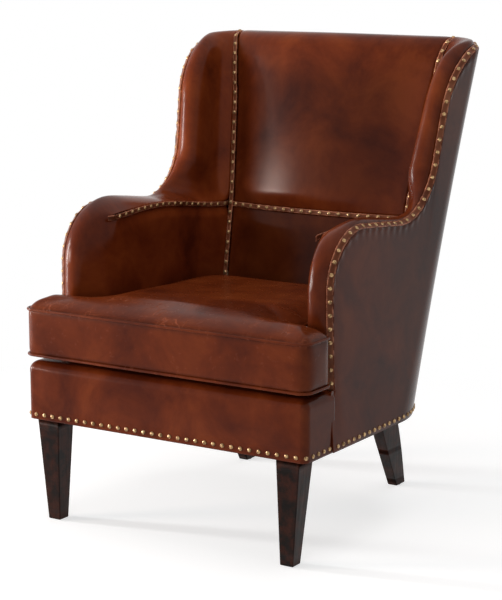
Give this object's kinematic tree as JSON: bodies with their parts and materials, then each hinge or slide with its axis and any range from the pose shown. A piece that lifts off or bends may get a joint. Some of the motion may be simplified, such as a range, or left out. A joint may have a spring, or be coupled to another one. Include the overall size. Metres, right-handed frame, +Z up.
{
  "type": "leather club armchair",
  "caption": "High-backed leather club chair with canted wings, swept padded arms, a loose T-shaped seat cushion, nailed leather trim and dark tapered wooden legs.",
  "frame": {"origin": "on the floor, under the middle of the chair's length and width", "axes": "+Z up, +Y towards the back, so the sitter faces -Y; +X to the right as seen from in front"},
  "size_m": [0.7358, 0.796, 1.0437],
  "materials": {
    "leather": "glossy pull-up",
    "trim_leather": "satin",
    "foam": "matte",
    "frame_wood": "sawn",
    "leg_wood": "satin, rubbed edges",
    "nail_brass": "antiqued",
    "steel": "satin",
    "webbing": "woven",
    "dust_cloth": "matte",
    "zip_tape": "woven",
    "glide": "matte"
  },
  "bodies": {
    "frame": {"apron_cover": "leather", "apron_pad": "foam", "back_webbing": "webbing", "crest_rail": "frame_wood", "deck_cover": "leather", "deck_pad": "foam", "dust_cover": "dust_cloth", "front_seat_rail": "frame_wood", "inside_nails": "nail_brass", "inside_trim": "trim_leather", "left_arm_post": "frame_wood", "left_arm_rail": "frame_wood", "left_back_post": "frame_wood", "left_edge_nails": "nail_brass", "left_edge_trim": "trim_leather", "left_front_leg": "leg_wood", "left_inside_arm_cover": "leather", "left_inside_arm_pad": "foam", "left_outside_cover": "leather", "left_rear_leg": "leg_wood", "left_seat_rail": "frame_wood", "left_wing_cover": "leather", "left_wing_pad": "foam", "left_wing_post": "frame_wood", "leg_bolts": "steel", "leg_glides": "glide", "lower_back_rail": "frame_wood", "lower_inside_back_cover": "leather", "lower_inside_back_pad": "foam", "outside_back_cover": "leather", "rear_seat_rail": "frame_wood", "right_arm_post": "frame_wood", "right_arm_rail": "frame_wood", "right_back_post": "frame_wood", "right_edge_nails": "nail_brass", "right_edge_trim": "trim_leather", "right_front_leg": "leg_wood", "right_inside_arm_cover": "leather", "right_inside_arm_pad": "foam", "right_outside_cover": "leather", "right_rear_leg": "leg_wood", "right_seat_rail": "frame_wood", "right_wing_cover": "leather", "right_wing_pad": "foam", "right_wing_post": "frame_wood", "seat_corner_blocks": "frame_wood", "seat_springs": "steel", "skirt_nails": "nail_brass", "spring_clips": "steel", "upper_inside_back_cover": "leather", "upper_inside_back_pad": "foam"},
    "cushion": {"cushion_core": "foam", "cushion_panels": "leather", "cushion_boxing": "leather", "cushion_top_welt": "leather", "cushion_bottom_welt": "leather", "cushion_zip_tape": "zip_tape"},
    "zip_slider": {"cushion_zip_slider": "nail_brass"}
  },
  "joints": [
    {"name": "cushion_lift", "type": "slide", "parent": "frame", "child": "cushion", "axis": [0, -0.8192, 0.5736], "range_m": [0, 0.75]},
    {"name": "zip_slide", "type": "slide", "parent": "cushion", "child": "zip_slider", "axis": [1, 0, 0], "range_m": [0, 0.262]}
  ]
}
